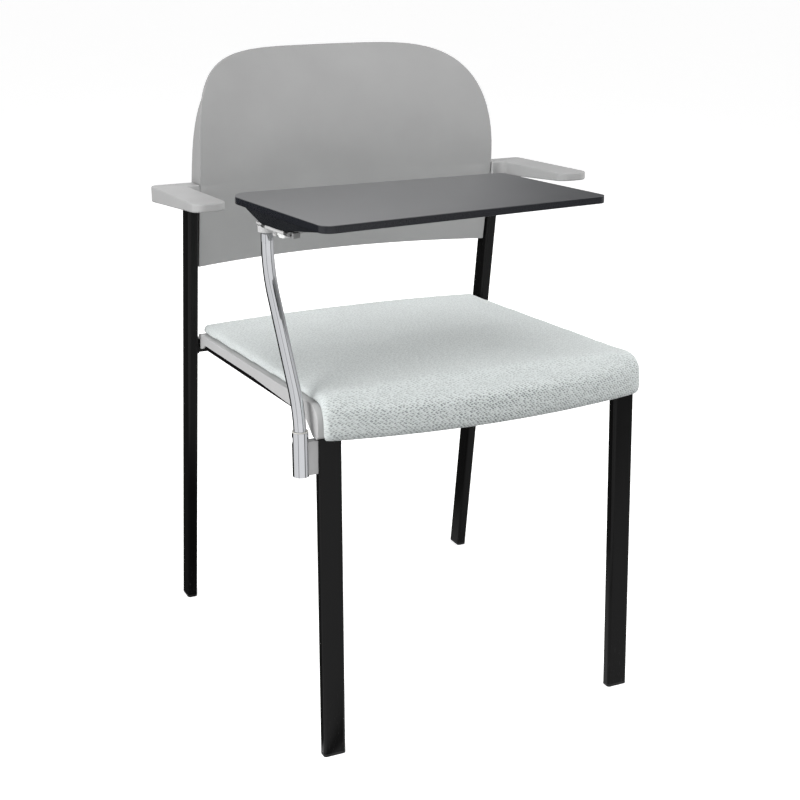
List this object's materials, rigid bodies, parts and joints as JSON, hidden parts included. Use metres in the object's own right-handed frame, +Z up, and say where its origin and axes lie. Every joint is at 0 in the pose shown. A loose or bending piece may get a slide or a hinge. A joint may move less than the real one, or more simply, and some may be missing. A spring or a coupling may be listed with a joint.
{
  "type": "tablet arm chair",
  "caption": "Chair on a tube frame with a padded seat, curved plastic back, plastic armrests and a writing tablet that flips up on a swivelling rod.",
  "frame": {"origin": "on the floor, under the middle of the chair's outer box", "axes": "+Z up; +Y towards the back of the chair, so the sitter faces -Y; +X to the side away from the tablet's arm"},
  "size_m": [0.58, 0.595, 0.84],
  "materials": {
    "black_paint": "satin black powder coat",
    "grey_paint": "matt grey",
    "chrome": "polished",
    "steel": "zinc plated",
    "glide": "matt black",
    "bush": "pale nylon",
    "grey_plastic": "finely textured light grey",
    "board": "raw plywood",
    "seat_fabric": "woven pale grey with dark flecks",
    "tablet_edge": "dark edge",
    "tablet_top": "anthracite laminate, half gloss",
    "housing": "near-black moulded plastic",
    "lever": "white moulded plastic"
  },
  "bodies": {
    "frame": {"front_leg_left": "black_paint", "front_leg_right": "black_paint", "rear_leg_left": "black_paint", "rear_leg_right": "black_paint", "front_glide_left": "glide", "front_glide_right": "glide", "rear_glide_left": "glide", "rear_glide_right": "glide", "side_rail_left": "black_paint", "side_rail_right": "black_paint", "front_cross_rail": "black_paint", "rear_cross_rail": "black_paint", "seat_pan": "grey_plastic", "seat_board": "board", "seat_cushion": "seat_fabric", "seat_screws": "steel", "backrest_shell": "grey_plastic", "back_screws": "steel", "armrest_left": "grey_plastic", "armrest_right": "grey_plastic", "arm_plate_left": "black_paint", "arm_plate_right": "black_paint", "arm_screws": "steel", "socket_bracket": "grey_paint", "bracket_bolts": "steel", "tablet_socket": "chrome", "socket_bushes": "bush", "socket_disc": "bush"},
    "tablet_arm": {"arm_rod": "chrome", "stop_pin": "steel", "arm_head": "grey_paint", "hinge_pin": "steel", "latch_pin": "steel"},
    "tablet": {"hinge_leaf": "steel", "hinge_housing": "housing", "tablet_board": "tablet_edge", "tablet_laminate": "tablet_top", "tablet_screws": "steel"},
    "latch": {"latch_lever": "lever"}
  },
  "joints": [
    {"name": "arm_swivel", "type": "hinge", "parent": "frame", "child": "tablet_arm", "pos_m": [-0.24247, -0.23355, 0.4], "axis": [0, 0, 1], "range_deg": [0, 90]},
    {"name": "tablet_flip", "type": "hinge", "parent": "tablet_arm", "child": "tablet", "pos_m": [-0.24975, -0.16035, 0.66966], "axis": [0.134, -0.991, 0], "range_deg": [0, 95]},
    {"name": "latch_release", "type": "hinge", "parent": "tablet_arm", "child": "latch", "pos_m": [-0.23843, -0.17395, 0.66501], "axis": [0.991, 0.134, 0], "range_deg": [0, 12]}
  ]
}
